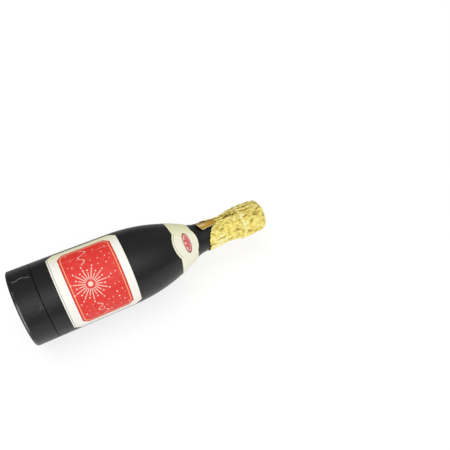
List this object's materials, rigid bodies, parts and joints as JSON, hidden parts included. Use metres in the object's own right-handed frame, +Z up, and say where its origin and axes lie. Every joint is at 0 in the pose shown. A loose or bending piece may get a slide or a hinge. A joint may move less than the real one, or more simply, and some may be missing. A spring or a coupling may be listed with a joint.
{
  "type": "confetti popper",
  "caption": "Bottle-shaped confetti popper lying on its side: black shell with paper labels and gold foil, a twist base that opens the air valve, and a charge that leaves through the mouth.",
  "frame": {"origin": "on the floor under the middle of the bottle's length, the bottle lying on its side", "axes": "+X along the bottle from the foot to the mouth, +Z up, the main label facing up and towards -Y"},
  "size_m": [0.2618, 0.0763, 0.0763],
  "materials": {
    "shell": "satin black",
    "base": "satin black",
    "pad": "matte foam",
    "can": "drawn",
    "plug": "matte",
    "valve": "matte",
    "jaw": "cast",
    "stopper": "matte",
    "seal": "matte",
    "bulkhead": "matte",
    "ring": "wire",
    "card": "plain",
    "silver_foil": "metallic",
    "blue_foil": "metallic",
    "green_foil": "metallic",
    "red_foil": "metallic",
    "gold_foil": "metallic",
    "label": "printed, semi-gloss",
    "foil": "gold lacquered, crinkled"
  },
  "bodies": {
    "bottle": {"bottle_shell": "shell", "bulkhead": "bulkhead", "cam_ring": "valve", "retaining_ring": "ring", "barrel_tube": "card", "main_label": "label", "neck_label": "label", "foil_wrap": "foil", "foil_tab": "foil"},
    "base": {"twist_base": "base", "base_pad": "pad", "air_can": "can", "fill_plug": "plug", "valve_collar": "valve", "collar_cap": "valve"},
    "jaw_upper": {"latch_jaw_upper": "jaw"},
    "jaw_lower": {"latch_jaw_lower": "jaw"},
    "stopper": {"stopper": "stopper", "stopper_ring": "seal"},
    "charge": {"wad": "card", "confetti_silver": "silver_foil", "confetti_blue": "blue_foil", "confetti_green": "green_foil", "confetti_red": "red_foil", "confetti_gold": "gold_foil", "closing_disc": "card"}
  },
  "joints": [
    {"name": "base_twist", "type": "hinge", "parent": "bottle", "child": "base", "pos_m": [-0.13087, 0, 0.038], "axis": [1, 0, 0], "range_deg": [-90, 0]},
    {"name": "jaw_upper_slide", "type": "slide", "parent": "base", "child": "jaw_upper", "axis": [0, 0, 1], "range_m": [-0.003, 0]},
    {"name": "jaw_lower_slide", "type": "slide", "parent": "base", "child": "jaw_lower", "axis": [0, 0, -1], "range_m": [-0.003, 0]},
    {"name": "stopper_slide", "type": "slide", "parent": "base", "child": "stopper", "axis": [1, 0, 0], "range_m": [-0.008, 0]},
    {"name": "charge_launch", "type": "slide", "parent": "bottle", "child": "charge", "axis": [1, 0, 0], "range_m": [0, 0.13]}
  ],
  "couplings": [
    {"joint": "jaw_upper_slide", "follows": "base_twist", "m_per_rad": 0.0019098},
    {"joint": "jaw_lower_slide", "follows": "base_twist", "m_per_rad": 0.0019098}
  ]
}
